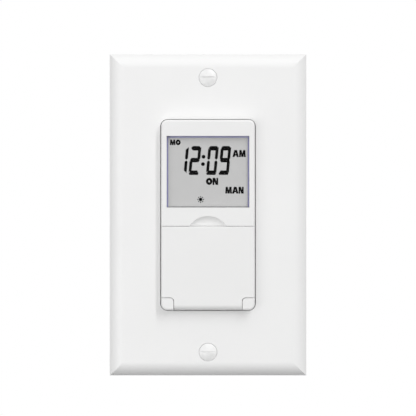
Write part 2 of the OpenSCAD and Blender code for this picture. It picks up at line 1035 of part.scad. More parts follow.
module board_link() {
    length = link_pins * link_pitch;
    color([0.15, 0.15, 0.16]) {
        for (front = [board_back, power_front - link_block_h])
            slab(front, front + link_block_h)
                translate([0, link_z]) square([length, link_pitch], center = true);
        for (number = [0 : link_pins - 1])
            at([link_x(number), link_z])
                pin(link_pin_r, board_front - link_tail, power_back + link_tail);
    }
}

// Power board

relay_leads = [
    for (sx = [-1, 1], sz = [-1, 1])
        [relay_place[0] + sx * relay_lead_x, relay_place[1] + sz * relay_lead_z]
];
film_leads = [for (sx = [-1, 1]) [sx * film_pitch / 2, film_z]];
can_leads = [for (sx = [-1, 1]) [can_place[0] + sx * can_pitch / 2, can_place[1]]];
disc_leads = [for (sz = [-1, 1]) [disc_place[0], disc_place[1] + sz * disc_pitch / 2]];
resistor_leads = [for (sx = [-1, 1]) [sx * resistor_pitch / 2, resistor_z]];
lead_places = concat(relay_leads, film_leads, can_leads, disc_leads, resistor_leads);
standoff_places = [for (sx = [-1, 1], sz = [-1, 1]) [sx * standoff_x, sz * standoff_z]];

// Leads through the power board, starting inside a part's body
module leads(places, front) {
    for (place = places)
        at(place) pin(lead_r, front, power_back + lead_tail);
}

module power_board() {
    color([0.62, 0.5, 0.25])
        slab(power_front, power_back)
            difference() {
                square([power_w, power_h], center = true);
                for (place = lead_places)
                    translate(place) circle(lead_hole_r);
                for (place = standoff_places)
                    translate(place) circle(standoff_peg_r + standoff_slip);
                link_holes();
                for (side = [-1, 1], z = terminal_rows)
                    translate([side * (terminal_floor + terminal_plate_t / 2), z])
                        square([tail_slot_t, tail_slot_w], center = true);
            }
}

module relay() {
    color([0.1, 0.2, 0.45]) {
        translate([relay_place[0], power_front, relay_place[1]])
            rotate([90, 0, 0])
                soft_block(relay_size[0], relay_size[2], case_corner, case_edge, relay_size[1]);
        leads(relay_leads, power_front - weld);
    }
}

module film_capacitor() {
    color([0.75, 0.6, 0.15]) {
        translate([0, power_front, film_z])
            rotate([90, 0, 0])
                soft_block(film_size[0], film_size[2], case_corner, case_edge, film_size[1]);
        leads(film_leads, power_front - weld);
    }
}

module electrolytic_capacitor() {
    color([0.12, 0.13, 0.2]) {
        at(can_place) {
            pin(can_r, power_front - can_h, power_front);
            pin(can_rim_r, power_front - can_h - can_rim_h, power_front);
        }
        leads(can_leads, power_front - weld);
    }
}

module varistor() {
    color([0.15, 0.3, 0.6]) {
        translate([disc_place[0], power_front - disc_lift - disc_r, disc_place[1]])
            rotate([0, 90, 0]) cylinder(h = disc_t, r = disc_r, center = true);
        leads(disc_leads, power_front - disc_lift - disc_r / 2);
    }
}

module fusible_resistor() {
    axis_y = power_front - resistor_lift - resistor_r;
    bend_x = resistor_pitch / 2 - resistor_bend;
    color([0.55, 0.4, 0.3]) {
        translate([0, axis_y, resistor_z])
            rotate([0, 90, 0]) {
                cylinder(h = resistor_len, r = resistor_r, center = true);
                cylinder(h = 2 * bend_x, r = lead_r, center = true);
            }
        for (side = [0, 1])
            mirror([side, 0, 0])
                translate([bend_x, axis_y + resistor_bend, resistor_z])
                    rotate([0, 0, -90])
                        rotate_extrude(angle = 90) translate([resistor_bend, 0]) circle(lead_r);
        leads(resistor_leads, axis_y + resistor_bend);
    }
}

// Rear housing

// Box around one terminal pocket, inside the housing
module terminal_box(z) {
    inner_x = terminal_floor - terminal_wall;
    box_h = pocket_h + 2 * terminal_wall;
    translate([inner_x, pocket_front_y - terminal_wall, z - box_h / 2])
        cube([
            terminal_depth + terminal_wall - housing_wall / 2,
            pocket_back_y - pocket_front_y + 2 * terminal_wall,
            box_h
        ]);
    translate([inner_x - terminal_boss_len, terminal_y, z])
        rotate([0, 90, 0]) cylinder(h = terminal_boss_len + weld, r = terminal_boss_r);
}

// Space of one terminal: the pocket, the screw's hole and the slot for the plate's tail
module terminal_space(z) {
    translate([terminal_floor, pocket_front_y, z - pocket_h / 2])
        cube([terminal_depth + past, pocket_back_y - pocket_front_y, pocket_h]);
    translate([terminal_floor - terminal_reach, terminal_y, z])
        rotate([0, 90, 0])
            cylinder(h = terminal_reach + past, r = terminal_screw_r + terminal_hole_gap);
    translate([terminal_floor, pocket_back_y - past, z - tail_slot_w / 2])
        cube([terminal_plate_t + terminal_slip, terminal_wall + 2 * past, tail_slot_w]);
}

// Ribs that stop the top of the control board
module board_ribs() {
    for (side = [-1, 1])
        translate([side * rib_x, 0, 0])
            slab(board_back + rib_gap, board_back + rib_gap + rib_depth)
                band(rib_w, board_top - rib_hold, housing_h / 2 - housing_wall / 2);
}

module rear_housing() {
    color([0.22, 0.23, 0.25])
        difference() {
            union() {
                difference() {
                    rotate([-90, 0, 0]) soft_block(housing_w, housing_h, housing_r, housing_edge, housing_d);
                    slab(-past, housing_floor)
                        rounded(housing_in_w, housing_in_h, housing_r - housing_wall);
                }
                for (place = corner_places)
                    at(place) pin(tube_r, 0, housing_d - housing_wall / 2);
                for (side = [0, 1], z = terminal_rows)
                    mirror([side, 0, 0]) terminal_box(z);
                for (place = standoff_places)
                    at(place) {
                        pin(standoff_r, power_back, housing_floor + housing_wall / 2);
                        pin(standoff_peg_r, power_front - lead_tail, housing_floor);
                    }
                board_ribs();
            }
            for (place = corner_places)
                at(place) {
                    pin(boss_r + boss_gap, -past, boss_end + boss_gap);
                    pin(housing_screw_r + housing_hole_gap, 0, housing_d);
                    pin(counterbore_r, counterbore_floor, housing_d + past);
                }
            for (side = [0, 1], z = terminal_rows)
                mirror([side, 0, 0]) terminal_space(z);
            box_screw_spaces();
        }
}

module housing_screws() {
    color([0.7, 0.71, 0.72])
        for (place = corner_places)
            translate([place[0], counterbore_floor, place[1]])
                rotate([-90, 0, 0])
                    screw(housing_head_r, housing_head_h, housing_screw_r, housing_screw_len, 2);
}

// Terminal plate with a tail to the power board
module terminal_plate(z) {
    hole_r = terminal_screw_r + terminal_slip;
    translate([terminal_floor, 0, z])
        rotate([0, 90, 0])
            linear_extrude(terminal_plate_t)
                difference() {
                    union() {
                        translate([-terminal_plate_w / 2, terminal_y - terminal_plate_l / 2])
                            square([terminal_plate_w, terminal_plate_l]);
                        translate([-tail_w / 2, terminal_y]) square([tail_w, tail_end - terminal_y]);
                    }
                    translate([0, terminal_y]) circle(hole_r);
                }
}

module terminal_plates() {
    color([0.8, 0.65, 0.3])
        for (side = [0, 1], z = terminal_rows)
            mirror([side, 0, 0]) terminal_plate(z);
}

module terminal_screws() {
    seat = terminal_floor + terminal_plate_t + wire_gap;
    color([0.82, 0.7, 0.4])
        for (side = [0, 1], z = terminal_rows)
            mirror([side, 0, 0])
                translate([seat, terminal_y, z])
                    rotate([0, 90, 0])
                        screw(
                            terminal_head_r, terminal_head_h, terminal_screw_r,
                            wire_gap + terminal_plate_t + terminal_reach - pilot_spare, 1
                        );
}

wall_plate();
plate_screws();
mounting_strap();
box_screws();
screw_washers();
earth_screw();
bezel();
display_window();
front_polariser();
lcd_front_glass();
lcd_rear_glass();
rear_reflector();
lcd_holder();
zebra_strip();
door();
key_on_off();
small_key(0);  // key_program
small_key(1);  // key_clock
small_key(2);  // key_mode
small_key(3);  // key_down
small_key(4);  // key_up
small_key(5);  // key_enter
reset_pin();
plunger(power_place);  // plunger_on_off
plunger(small_places[0]);  // plunger_program
plunger(small_places[1]);  // plunger_clock
plunger(small_places[2]);  // plunger_mode
plunger(small_places[3]);  // plunger_down
plunger(small_places[4]);  // plunger_up
plunger(small_places[5]);  // plunger_enter
plunger(reset_place);  // plunger_reset
switch_bodies();
control_board();
board_screws();
microcontroller();
crystal();
backup_cell();
cell_clip();
board_link();
power_board();
relay();
film_capacitor();
electrolytic_capacitor();
varistor();
fusible_resistor();
rear_housing();
housing_screws();
terminal_plates();
terminal_screws();
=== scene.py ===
"""Looks of the in-wall timer switch: finishes, display contents, key legends, threads, light and camera."""
import math

import bmesh
import bpy
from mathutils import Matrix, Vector


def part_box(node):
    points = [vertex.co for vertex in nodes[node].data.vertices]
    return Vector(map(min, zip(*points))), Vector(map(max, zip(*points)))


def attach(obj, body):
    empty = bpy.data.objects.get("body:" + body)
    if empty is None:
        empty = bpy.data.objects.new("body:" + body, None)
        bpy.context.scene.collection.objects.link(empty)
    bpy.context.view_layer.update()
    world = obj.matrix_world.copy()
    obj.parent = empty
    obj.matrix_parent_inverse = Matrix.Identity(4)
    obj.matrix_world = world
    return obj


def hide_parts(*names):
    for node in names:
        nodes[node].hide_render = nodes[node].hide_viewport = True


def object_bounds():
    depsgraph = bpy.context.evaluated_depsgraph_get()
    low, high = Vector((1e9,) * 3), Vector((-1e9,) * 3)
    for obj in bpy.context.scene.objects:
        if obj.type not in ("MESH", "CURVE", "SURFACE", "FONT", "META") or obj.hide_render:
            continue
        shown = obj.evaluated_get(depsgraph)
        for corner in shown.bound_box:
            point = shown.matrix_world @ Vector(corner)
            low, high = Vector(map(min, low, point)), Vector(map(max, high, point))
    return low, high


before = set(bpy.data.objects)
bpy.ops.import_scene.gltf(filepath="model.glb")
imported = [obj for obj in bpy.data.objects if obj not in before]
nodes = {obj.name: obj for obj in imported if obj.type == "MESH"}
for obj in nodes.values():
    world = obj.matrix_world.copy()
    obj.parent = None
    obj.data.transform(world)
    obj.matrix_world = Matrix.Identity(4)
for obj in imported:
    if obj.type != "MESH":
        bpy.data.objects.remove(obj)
cad_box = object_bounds()
MM = 0.001
WELD = 1e-7


# Procedural finishes

# Ends of the range in which most values of a texture lie
TEXTURE_LOW = 0.3
TEXTURE_HIGH = 0.7


class Finish:
    """One material: a Principled shader and the textures that feed it."""

    def __init__(self, name, color, roughness, metallic=0.0):
        self.material = bpy.data.materials.new(name)
        self.material.use_nodes = True
        self.tree = self.material.node_tree
        self.shader = self.tree.nodes["Principled BSDF"]
        self.color = color
        self.normal = None
        self.set("Base Color", (*color, 1))
        self.set("Roughness", roughness)
        self.set("Metallic", metallic)

    def set(self, socket, value):
        self.shader.inputs[socket].default_value = value

    def add(self, kind):
        return self.tree.nodes.new(kind)

    def link(self, output, socket):
        self.tree.links.new(output, socket)

    def place(self, size, stretch, turn=(0, 0, 0)):
        """Object coordinates in units of size metres, longer where stretch is above one."""
        coords = self.add("ShaderNodeTexCoord")
        mapping = self.add("ShaderNodeMapping")
        mapping.inputs["Rotation"].default_value = turn
        mapping.inputs["Scale"].default_value = [1 / (size * s) for s in stretch]
        self.link(coords.outputs["Object"], mapping.inputs["Vector"])
        return mapping.outputs["Vector"]

    def noise(self, size, stretch=(1, 1, 1), detail=3):
        """Cloudy texture whose spots are about as large as size."""
        texture = self.add("ShaderNodeTexNoise")
        texture.inputs["Scale"].default_value = 1
        texture.inputs["Detail"].default_value = detail
        self.link(self.place(size, stretch), texture.inputs["Vector"])
        return texture.outputs["Fac"]

    def cells(self, size):
        """Random value per cell, as on a crystalline coating."""
        texture = self.add("ShaderNodeTexVoronoi")
        texture.inputs["Scale"].default_value = 1
        self.link(self.place(size, (1, 1, 1)), texture.inputs["Vector"])
        split = self.add("ShaderNodeSeparateColor")
        self.link(texture.outputs["Color"], split.inputs["Color"])
        return split.outputs["Red"]

    def tracks(self, size):
        """Straight tracks on the XZ plane, as under the mask of a circuit board."""
        texture = self.add("ShaderNodeTexBrick")
        texture.inputs["Scale"].default_value = 1
        texture.inputs["Mortar Size"].default_value = 0.06
        for socket, grey in (("Color1", 0), ("Color2", 0.25), ("Mortar", 1)):
            texture.inputs[socket].default_value = (grey, grey, grey, 1)
        self.link(self.place(size, (1, 1, 1), turn=(math.pi / 2, 0, 0)), texture.inputs["Vector"])
        return texture.outputs["Color"]

    def tint(self, fac, low, high):
        """Colour that runs from low to high times the base colour."""
        ramp = self.add("ShaderNodeValToRGB")
        stops = zip(ramp.color_ramp.elements, (TEXTURE_LOW, TEXTURE_HIGH), (low, high))
        for stop, place, share in stops:
            stop.position = place
            stop.color = (*[c * share for c in self.color], 1)
        self.link(fac, ramp.inputs["Fac"])
        self.link(ramp.outputs["Color"], self.shader.inputs["Base Color"])

    def roughen(self, fac, low, high):
        """Roughness that runs from low to high."""
        spread = self.add("ShaderNodeMapRange")
        spread.inputs["From Min"].default_value = TEXTURE_LOW
        spread.inputs["From Max"].default_value = TEXTURE_HIGH
        spread.inputs["To Min"].default_value = low
        spread.inputs["To Max"].default_value = high
        self.link(fac, spread.inputs["Value"])
        self.link(spread.outputs["Result"], self.shader.inputs["Roughness"])

    def emboss(self, fac, height):
        """Bump of the given height in metres, on top of any bump already there."""
        bump = self.add("ShaderNodeBump")
        bump.inputs["Strength"].default_value = 1
        bump.inputs["Distance"].default_value = height
        self.link(fac, bump.inputs["Height"])
        if self.normal:
            self.link(self.normal, bump.inputs["Normal"])
        self.normal = bump.outputs["Normal"]
        self.link(self.normal, self.shader.inputs["Normal"])


def moulded_plastic(name, color, roughness, grain=0.35 * MM, depth=0.004 * MM):
    """Moulded plastic: fine spark-eroded grain, soft flow marks and uneven gloss."""
    finish = Finish(name, color, roughness)
    finish.tint(finish.noise(18 * MM, detail=2), low=0.985, high=1.0)
    finish.roughen(finish.noise(4 * MM), low=roughness - 0.06, high=roughness + 0.06)
    finish.emboss(finish.noise(grain), height=depth)
    return finish.material


def brushed_metal(name, color, roughness, stretch=(12, 1, 1)):
    """Drawn or brushed metal with fine lines along one direction."""
    finish = Finish(name, color, roughness, metallic=1)
    finish.tint(finish.noise(3 * MM, detail=4), low=0.85, high=1.0)
    lines = finish.noise(0.12 * MM, stretch=stretch)
    finish.roughen(lines, low=roughness - 0.08, high=roughness + 0.12)
    finish.emboss(lines, height=0.004 * MM)
    return finish.material


def plated_steel(name, color, roughness):
    """Zinc-plated sheet: pale crystals and a cloudy passivated film."""
    finish = Finish(name, color, roughness, metallic=1)
    finish.tint(finish.cells(1.7 * MM), low=0.86, high=1.0)
    finish.roughen(finish.noise(1.5 * MM, detail=5), low=roughness - 0.1, high=roughness + 0.15)
    finish.emboss(finish.noise(0.25 * MM), height=0.003 * MM)
    return finish.material


def plated_screw(name, color, roughness):
    """Bright-plated turned steel: fine rolled lines and a cloudy film."""
    finish = Finish(name, color, roughness, metallic=1)
    finish.tint(finish.noise(1.2 * MM, detail=4), low=0.88, high=1.0)
    finish.roughen(finish.noise(0.6 * MM, detail=4), low=roughness - 0.06, high=roughness + 0.12)
    finish.emboss(finish.noise(0.1 * MM, stretch=(1, 8, 1)), height=0.002 * MM)
    return finish.material


def lacquer(name, color, roughness):
    """Paint or dipped coating with a slight orange-peel surface."""
    finish = Finish(name, color, roughness)
    finish.tint(finish.noise(2.5 * MM), low=0.93, high=1.03)
    finish.roughen(finish.noise(1.2 * MM), low=roughness - 0.05, high=roughness + 0.08)
    finish.emboss(finish.noise(0.8 * MM, detail=1), height=0.012 * MM)
    return finish.material


def circuit_board(name, color):
    """Masked board: raised tracks, a cloudy mask and a faint weave."""
    finish = Finish(name, color, 0.4)
    tracks = finish.tracks(1.9 * MM)
    finish.tint(tracks, low=0.85, high=1.7)
    finish.roughen(finish.noise(1.5 * MM), low=0.3, high=0.45)
    finish.emboss(tracks, height=0.03 * MM)
    finish.emboss(finish.noise(0.4 * MM, stretch=(6, 1, 1)), height=0.004 * MM)
    return finish.material


def fibre_sheet(name, color):
    """Vulcanised fibre: matted strands."""
    finish = Finish(name, color, 0.8)
    strands = finish.noise(0.2 * MM, stretch=(5, 1, 1), detail=6)
    finish.tint(strands, low=0.75, high=1.15)
    finish.emboss(strands, height=0.02 * MM)
    return finish.material


def rubber(name, color):
    """Layered contact rubber: thin bands across its length and a dusty surface."""
    finish = Finish(name, color, 0.7)
    finish.tint(finish.noise(0.18 * MM, stretch=(1, 30, 30), detail=1), low=0.35, high=1.05)
    finish.emboss(finish.noise(0.1 * MM), height=0.004 * MM)
    return finish.material


def display_film(name, color, roughness):
    """Polarising film over the display: a faint streaky grain."""
    finish = Finish(name, color, roughness)
    finish.set("Specular IOR Level", 0.2)
    finish.tint(finish.noise(0.5 * MM, stretch=(4, 1, 1)), low=0.985, high=1.0)
    finish.emboss(finish.noise(0.15 * MM), height=0.0008 * MM)
    return finish.material


def clear_plastic(name, color, alpha):
    """Clear, slightly smoky moulded window: glossy, with a few hairline scuffs."""
    finish = Finish(name, color, 0.08)
    finish.set("Alpha", alpha)
    finish.set("IOR", 1.49)
    scuffs = finish.noise(0.3 * MM, stretch=(14, 1, 1.6), detail=5)
    finish.roughen(scuffs, low=0.04, high=0.14)
    finish.tint(finish.noise(6 * MM), low=0.98, high=1.0)
    return finish.material


def sheet_glass(name, color):
    """Display glass: greenish, with a faint waviness."""
    finish = Finish(name, color, 0.06)
    finish.set("IOR", 1.52)
    finish.tint(finish.noise(4 * MM), low=0.95, high=1.0)
    finish.emboss(finish.noise(3 * MM, detail=1), height=0.002 * MM)
    return finish.material


def printed_ink(name, color, shine=0.4):
    """Printed or switched-on ink with slightly uneven density."""
    finish = Finish(name, color, 0.45)
    finish.set("Specular IOR Level", shine)
    finish.tint(finish.noise(0.25 * MM), low=0.9, high=1.15)
    finish.emboss(finish.noise(0.08 * MM), height=0.001 * MM)
    return finish.material


small_keys = [f"key_{key}" for key in ("program", "clock", "mode", "down", "up", "enter")]
plungers = [name for name in nodes if name.startswith("plunger_")]

# Each finish, and the CAD nodes that wear it
FINISHES = [
    (moulded_plastic("plate_white", (0.88, 0.88, 0.878), 0.36), ["wall_plate"]),
    (moulded_plastic("face_white", (0.845, 0.845, 0.842), 0.42, grain=0.3 * MM), ["bezel", "door"]),
    (lacquer("screw_white", (0.87, 0.87, 0.868), 0.4), ["plate_screws"]),
    (plated_steel("strap_zinc", (0.6, 0.61, 0.62), 0.38), ["mounting_strap"]),
    (plated_screw("screw_zinc", (0.56, 0.56, 0.57), 0.3), ["box_screws", "board_screws", "housing_screws"]),
    (fibre_sheet("fibre", (0.3, 0.19, 0.11)), ["screw_washers"]),
    (lacquer("earth_green", (0.04, 0.25, 0.09), 0.35), ["earth_screw"]),
    (clear_plastic("window_clear", (0.03, 0.03, 0.032), alpha=0.05), ["display_window"]),
    (display_film("film_grey", (0.67, 0.67, 0.668), 0.5), ["front_polariser"]),
    (sheet_glass("glass_edge", (0.5, 0.58, 0.54)), ["lcd_front_glass", "lcd_rear_glass"]),
    (brushed_metal("reflector", (0.75, 0.75, 0.74), 0.4), ["rear_reflector"]),
    (moulded_plastic("holder", (0.7, 0.7, 0.68), 0.55), ["lcd_holder"]),
    (rubber("zebra", (0.62, 0.32, 0.36)), ["zebra_strip"]),
    (moulded_plastic("key_grey", (0.3, 0.315, 0.34), 0.5), small_keys),
    (moulded_plastic("key_light", (0.46, 0.475, 0.5), 0.5), ["key_on_off"]),
    (moulded_plastic("dark_plastic", (0.03, 0.03, 0.033), 0.5),
     ["reset_pin", "switch_bodies", "microcontroller", "board_link", *plungers]),
    (circuit_board("board_green", (0.02, 0.12, 0.05)), ["control_board"]),
    (circuit_board("board_tan", (0.36, 0.23, 0.08)), ["power_board"]),
    (brushed_metal("can_steel", (0.74, 0.74, 0.75), 0.28), ["crystal"]),
    (brushed_metal("cell_steel", (0.77, 0.77, 0.78), 0.25), ["backup_cell"]),
    (brushed_metal("clip_metal", (0.78, 0.7, 0.5), 0.3), ["cell_clip"]),
    (moulded_plastic("relay_blue", (0.02, 0.06, 0.24), 0.45), ["relay"]),
    (lacquer("film_yellow", (0.55, 0.36, 0.03), 0.35), ["film_capacitor"]),
    (lacquer("can_sleeve", (0.02, 0.024, 0.06), 0.3), ["electrolytic_capacitor"]),
    (lacquer("varistor_blue", (0.02, 0.1, 0.33), 0.4), ["varistor"]),
    (lacquer("resistor_coat", (0.3, 0.17, 0.1), 0.5), ["fusible_resistor"]),
    (moulded_plastic("housing_grey", (0.045, 0.047, 0.052), 0.55, depth=0.008 * MM), ["rear_housing"]),
    (brushed_metal("brass", (0.72, 0.53, 0.24), 0.3), ["terminal_plates", "terminal_screws"]),
]


def dress(node, material):
    """Give a CAD node its finish."""
    mesh = nodes[node].data
    mesh.materials.clear()
    mesh.materials.append(material)


for finish_material, wearers in FINISHES:
    for node_name in wearers:
        dress(node_name, finish_material)


# Thin printed shapes

PRINT_T = 0.015 * MM
# Letters get a thickness of any size first, which is then brought to that of the print
TEXT_EXTRUDE = 0.01
TEXT_STEPS = 4


def new_piece(name, mesh, body, material):
    """Finished piece from a bmesh: linked, dressed and riding on a body."""
    data = bpy.data.meshes.new(name)
    mesh.to_mesh(data)
    mesh.free()
    data.materials.append(material)
    piece = bpy.data.objects.new(name, data)
    bpy.context.scene.collection.objects.link(piece)
    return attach(piece, body)


def flat_print(name, outlines, back, body, material):
    """Thin solid made of outlines in the front view, whose back lies at the given depth."""
    mesh = bmesh.new()
    for outline in outlines:
        mesh.faces.new([mesh.verts.new((x, back, z)) for x, z in outline])
    bmesh.ops.remove_doubles(mesh, verts=mesh.verts, dist=WELD)
    grown = bmesh.ops.extrude_face_region(mesh, geom=list(mesh.faces))
    moved = [v for v in grown["geom"] if isinstance(v, bmesh.types.BMVert)]
    bmesh.ops.translate(mesh, verts=moved, vec=(0, -PRINT_T, 0))
    bmesh.ops.recalc_face_normals(mesh, faces=mesh.faces)
    return new_piece(name, mesh, body, material)


def lettering(name, words, box, back, body, material):
    """Printed words that fill a box in the front view: (left, bottom, right, top)."""
    curve = bpy.data.curves.new(name, "FONT")
    curve.body = words
    curve.extrude = TEXT_EXTRUDE
    curve.resolution_u = TEXT_STEPS
    text = bpy.data.objects.new(name + ".text", curve)
    bpy.context.scene.collection.objects.link(text)
    graph = bpy.context.evaluated_depsgraph_get()
    outline = bpy.data.meshes.new_from_object(text.evaluated_get(graph))
    bpy.data.objects.remove(text)
    xs = [v.co.x for v in outline.vertices]
    ys = [v.co.y for v in outline.vertices]
    left, bottom, right, top = box
    across = (right - left) / (max(xs) - min(xs))
    up = (top - bottom) / (max(ys) - min(ys))
    for v in outline.vertices:
        depth = back - (PRINT_T if v.co.z > 0 else 0)
        v.co = (left + (v.co.x - min(xs)) * across, depth, bottom + (v.co.y - min(ys)) * up)
    mesh = bmesh.new()
    mesh.from_mesh(outline)
    bmesh.ops.remove_doubles(mesh, verts=mesh.verts, dist=WELD)
    bmesh.ops.recalc_face_normals(mesh, faces=mesh.faces)
    bpy.data.meshes.remove(outline)
    return new_piece(name, mesh, body, material)


def strip(left, bottom, right, top):
    """Upright rectangle."""
    return [(left, bottom), (right, bottom), (right, top), (left, top)]


def line(start, end, weight):
    """Straight stroke between two points."""
    along = (end - start).normalized()
    side = Vector((-along.y, along.x)) * weight / 2
    return [start + side, start - side, end - side, end + side]


def turn_steps(count):
    """Angles that divide a full turn evenly."""
    return [math.tau * i / count for i in range(count)]


def disc(x, z, radius, corners=20):
    """Circle with the given number of corners."""
    return [(x + radius * math.cos(a), z + radius * math.sin(a)) for a in turn_steps(corners)]


# Display contents, in metres on the front view

ink = printed_ink("display_ink", (0.002, 0.002, 0.002), shine=0.03)
film_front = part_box("front_polariser")[0].y

DIGIT_W = 3.65 * MM
DIGIT_H = 10.13 * MM
# Height of the middle of the middle bar above the digit's foot
DIGIT_WAIST = 5.2 * MM
BAR_T = 1.56 * MM
POST_T = 1.02 * MM
# Length of the point of an upright segment at the waist
POST_TIP = POST_T * 0.45
SEGMENT_GAP = 0.1 * MM
LEAN = math.tan(math.radians(5.4))
DIGITS_FOOT = 14.08 * MM
DIGIT_PITCH = 4.38 * MM
COLON_STEP = 6.14 * MM
FIRST_DIGIT = -11.26 * MM
SECOND_DIGIT = -6.92 * MM
THIRD_DIGIT = SECOND_DIGIT + COLON_STEP
FOURTH_DIGIT = THIRD_DIGIT + DIGIT_PITCH
# Lit segments of each digit, by their usual letters, and the digit's left edge
SHOWN_SEGMENTS = [
    ("bc", FIRST_DIGIT), ("abged", SECOND_DIGIT), ("abcdef", THIRD_DIGIT), ("abcdfg", FOURTH_DIGIT),
]
COLON_DOTS = [(-1.58 * MM, 20.46 * MM), (-1.78 * MM, 17.86 * MM)]
COLON_R = 0.68 * MM
# How far the outer and inner corner of an upright segment stay from the digit's end, by side and end
POST_CUTS = {
    (1, 1): (0.36 * MM, 1.25 * MM), (1, -1): (0.66 * MM, 1.55 * MM),
    (-1, 1): (0.88 * MM, 1.5 * MM), (-1, -1): (0.96 * MM, 1.55 * MM),
}


def bar(bottom, tip, slant):
    """Level segment; its ends are pointed at a share of its thickness above its bottom edge."""
    low, high = SEGMENT_GAP, DIGIT_W - SEGMENT_GAP
    top = bottom + BAR_T
    point = bottom + BAR_T * tip
    over, under = (top - point) * slant, (point - bottom) * slant
    return [
        (low, point), (low + over, top), (high - over, top),
        (high, point), (high - under, bottom), (low + under, bottom),
    ]


def post(side, end):
    """Upright segment on the right (side 1) or left (-1), from the waist to the top (end 1) or foot (-1)."""
    far = DIGIT_H - DIGIT_WAIST if end > 0 else DIGIT_WAIST
    outer_cut, inner_cut = POST_CUTS[side, end]
    outline = [
        (0, far - outer_cut), (0, SEGMENT_GAP + POST_TIP), (POST_T / 2, SEGMENT_GAP),
        (POST_T, SEGMENT_GAP + POST_TIP), (POST_T, far - inner_cut),
    ]
    outer = DIGIT_W if side > 0 else 0
    return [(outer - side * x, DIGIT_WAIST + end * z) for x, z in outline]


# Outlines of the seven segments, before they lean
SEGMENTS = {
    "a": bar(DIGIT_H - BAR_T, tip=0.55, slant=0.85),
    "b": post(side=1, end=1),
    "c": post(side=1, end=-1),
    "d": bar(0, tip=0.3, slant=0.55),
    "e": post(side=-1, end=-1),
    "f": post(side=-1, end=1),
    "g": bar(DIGIT_WAIST - BAR_T / 2, tip=0.5, slant=0.6),
}


def display_time():
    """Leaning digits of the time, and the colon's dots."""
    outlines = [disc(x, z, COLON_R) for x, z in COLON_DOTS]
    for letters, left in SHOWN_SEGMENTS:
        for letter in letters:
            outlines.append([(left + x + z * LEAN, DIGITS_FOOT + z) for x, z in SEGMENTS[letter]])
    return flat_print("display_time", outlines, film_front, "frame", ink)


SUN_PLACE = Vector((-2.6, 5.45)) * MM
SUN_R = 0.62 * MM
SUN_RAYS = 8
RAY_ROOT = 0.76 * MM
RAY_TIP = 1.22 * MM
RAY_T = 0.32 * MM


def display_sun():
    """Sun mark: a disc with short rays round it."""
    outlines = [disc(*SUN_PLACE, SUN_R, corners=16)]
    for angle in turn_steps(SUN_RAYS):
        out = Vector((math.cos(angle), math.sin(angle)))
        outlines.append(line(SUN_PLACE + out * RAY_ROOT, SUN_PLACE + out * RAY_TIP, RAY_T))
    return flat_print("display_sun", outlines, film_front, "frame", ink)


WORD_GAP = 0.05 * MM
# Widths of the letters, relative to each other
LETTER_SHARES = {"M": 1.3, "A": 1.24, "N": 1.0, "O": 1.17}
# Stroke of the O, as a share of its height
RING_SHARE = 0.35
RING_CORNERS = 24


def letter_n(w, h):
    """Bold N: two stems and a heavy slant; the two notches are alike, turned by half."""
    stem, notch_w, notch_h = 0.32 * w, 0.22 * w, 0.5 * h
    half = [(0, h), (0, 0), (stem, 0), (stem, notch_h), (stem + notch_w, 0)]
    return [half + [(w - x, h - z) for x, z in half]]


def letter_m(w, h):
    """Bold M: legs that spread a little, and a point that comes down to the foot line."""
    spread, foot, shoulder, point = 0.06 * w, 0.27 * w, 0.36 * w, 0.15 * w
    arch_x, arch_h, notch_h = 0.29 * w, 0.46 * h, 0.52 * h
    half = [(w / 2 - point, 0), (arch_x, arch_h), (foot, 0), (0, 0), (spread, h), (shoulder, h)]
    other = [(w - x, z) for x, z in reversed(half)]
    return [half + [(w / 2, notch_h)] + other]


def letter_a(w, h):
    """Bold A: two legs that meet in a blunt top, and a bar between their inner edges."""
    foot, blunt, inner_top = 0.33 * w, 0.21 * w, 0.66 * h
    bar_low, bar_high = 0.2 * h, 0.42 * h

    def inner(z):
        return (foot + (w / 2 - foot) * z / inner_top, z)

    inner_edge = [(foot, 0), inner(bar_low), inner(bar_high), (w / 2, inner_top)]
    leg = [(0, 0), *inner_edge, (w / 2, h), (w / 2 - blunt, h)]
    other_leg = [(w - x, z) for x, z in leg]
    (left_low, _), (left_high, _) = inner(bar_low), inner(bar_high)
    middle = [(left_low, bar_low), (w - left_low, bar_low), (w - left_high, bar_high), (left_high, bar_high)]
    return [leg, other_leg, middle]


def letter_o(w, h):
    """Ring between two ellipses."""
    def edge(inset):
        across, up = w / 2 - inset, h / 2 - inset
        return [
            (w / 2 + across * math.cos(a), h / 2 + up * math.sin(a)) for a in turn_steps(RING_CORNERS)
        ]

    outer, inner = edge(0), edge(RING_SHARE * h)
    return [[outer[i - 1], outer[i], inner[i], inner[i - 1]] for i in range(len(outer))]


LETTERS = {"M": letter_m, "A": letter_a, "N": letter_n, "O": letter_o}

# Each word, and its box on the display in millimetres: left, bottom, right, top
DISPLAY_WORDS = {
    "display_day": ("MO", (-13.38, 24.53, -9.62, 26.47)),
    "display_half": ("AM", (8.6, 20.35, 13.25, 22.82)),
    "display_state": ("ON", (-0.73, 10.56, 3.57, 13.03)),
    "display_mode": ("MAN", (6.06, 7.52, 12.54, 9.9)),
}


def display_word(name, word, box):
    """Bold word that fills a box on the display."""
    left, bottom, right, top = [edge * MM for edge in box]
    room = right - left - WORD_GAP * (len(word) - 1)
    unit = room / sum(LETTER_SHARES[letter] for letter in word)
    outlines = []
    for letter in word:
        w = LETTER_SHARES[letter] * unit
        for outline in LETTERS[letter](w, top - bottom):
            outlines.append([(left + x, bottom + z) for x, z in outline])
        left += w + WORD_GAP
    return flat_print(name, outlines, film_front, "frame", ink)


display_time()
display_sun()
for piece_name, (word, box) in DISPLAY_WORDS.items():
    display_word(piece_name, word, box)


# Painted edge of the display window: painted shade, and a violet painted fringe where the lens's edge is
# seen through it

# Widths of the painted violet fringe along the window's sides and top, and of the painted grey shade at its
# foot
PAINTED_FRINGE_T = 0.42 * MM
PAINTED_FOOT_SHADE_T = 0.3 * MM
# Width of the lip round the window's raised front
LENS_LIP = 0.6 * MM


